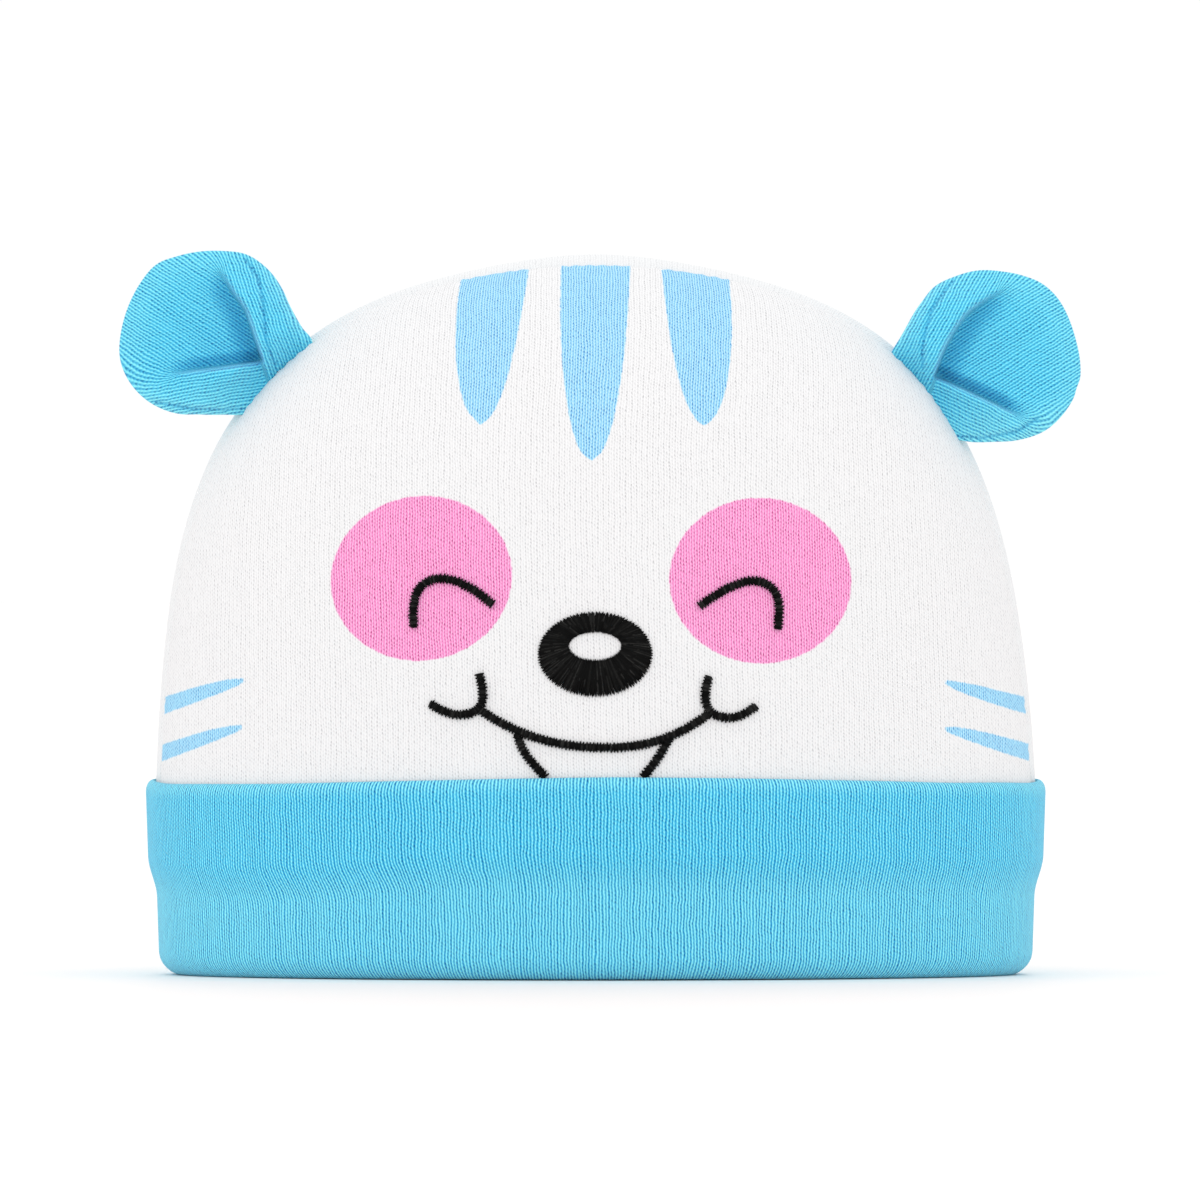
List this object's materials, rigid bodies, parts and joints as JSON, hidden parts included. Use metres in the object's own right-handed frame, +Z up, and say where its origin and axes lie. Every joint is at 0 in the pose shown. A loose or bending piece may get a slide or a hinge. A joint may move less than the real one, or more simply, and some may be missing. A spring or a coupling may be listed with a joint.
{
  "type": "knitted baby hat with two ears and a turned-up cuff",
  "caption": "Soft knitted baby hat: a rounded crown with an embroidered animal face, folded ears in the top seam and a doubled cuff turned up round the rim.",
  "frame": {"origin": "on the surface that the cuff stands on, under the middle of the hat's overall box", "axes": "+X to the hat's right ear as seen from the front, -Y the way the face looks, +Z up"},
  "size_m": [0.1699, 0.0926, 0.1285],
  "materials": {
    "knit_white": "matt fine cotton knit, white, with printed blue stripes and pink round patches on the front",
    "knit_blue": "matt fine cotton knit, sky blue, with upright wales",
    "ear_knit_blue": "matt fine cotton knit, sky blue, with slanting wales",
    "satin_stitch_black": "satin-stitched black embroidery thread with a soft sheen"
  },
  "bodies": {
    "root": {"crown_front": "knit_white", "crown_back": "knit_white", "cuff": "knit_blue", "ear_left": "ear_knit_blue", "ear_right": "ear_knit_blue", "eye_left_embroidery": "satin_stitch_black", "eye_right_embroidery": "satin_stitch_black", "nose_embroidery": "satin_stitch_black", "mouth_embroidery": "satin_stitch_black"}
  },
  "joints": []
}
